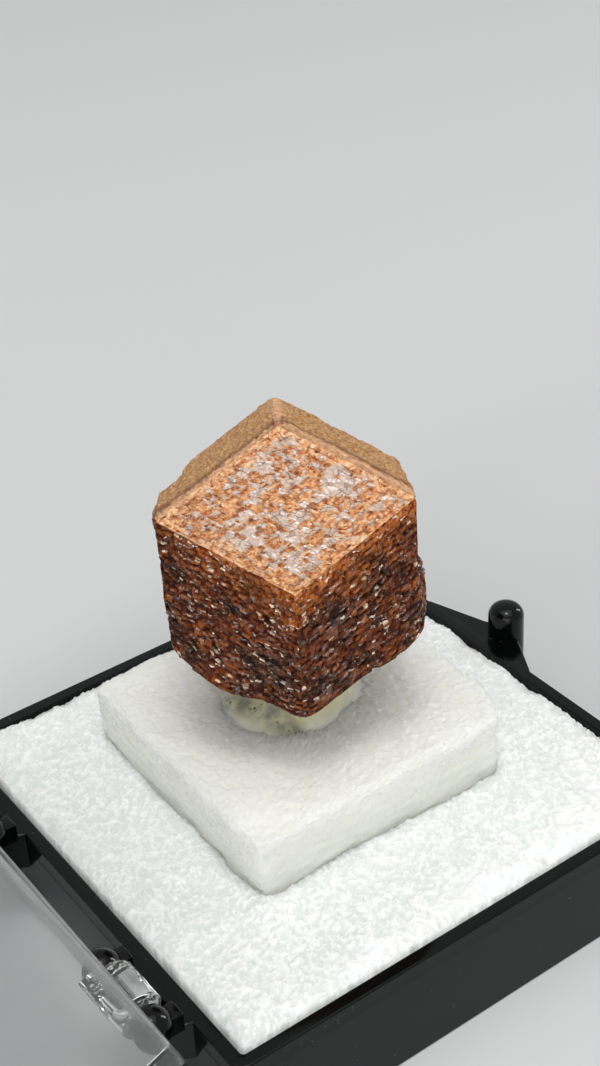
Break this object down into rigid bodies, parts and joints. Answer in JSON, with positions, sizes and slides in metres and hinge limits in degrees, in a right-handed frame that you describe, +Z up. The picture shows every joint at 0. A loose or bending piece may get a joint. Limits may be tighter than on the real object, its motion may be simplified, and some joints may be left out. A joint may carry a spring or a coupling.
{
  "type": "garnet crystal in a hinged specimen box",
  "caption": "Brown garnet crystal with lozenge faces, fixed with putty on a foam stand in a black tray with a clear deep hinged lid.",
  "frame": {"origin": "centre of the tray's flat underside, where the box stands", "axes": "+Z up out of the tray, +X from the hinge towards the latch, +Y along the hinge line"},
  "size_m": [0.0719, 0.032, 0.0424],
  "materials": {
    "black_plastic": "glossy black moulded polystyrene",
    "clear_plastic": "clear moulded polystyrene, polished",
    "white_foam": "white cut foam with a coarse granular face",
    "riser_foam": "white foam block, knife-cut sides",
    "putty": "translucent yellowish mounting putty",
    "garnet": "brown garnet, etched blocky faces, nearly opaque"
  },
  "bodies": {
    "base": {"base_tray": "black_plastic", "foam_liner": "white_foam", "foam_riser": "riser_foam", "mounting_putty": "putty", "garnet_crystal": "garnet"},
    "cover": {"lid": "clear_plastic"}
  },
  "joints": [
    {"name": "lid_hinge", "type": "hinge", "parent": "base", "child": "cover", "pos_m": [-0.0179, 0, 0.0072], "axis": [0, -1, 0], "range_deg": [-111.47, 68.5]}
  ]
}
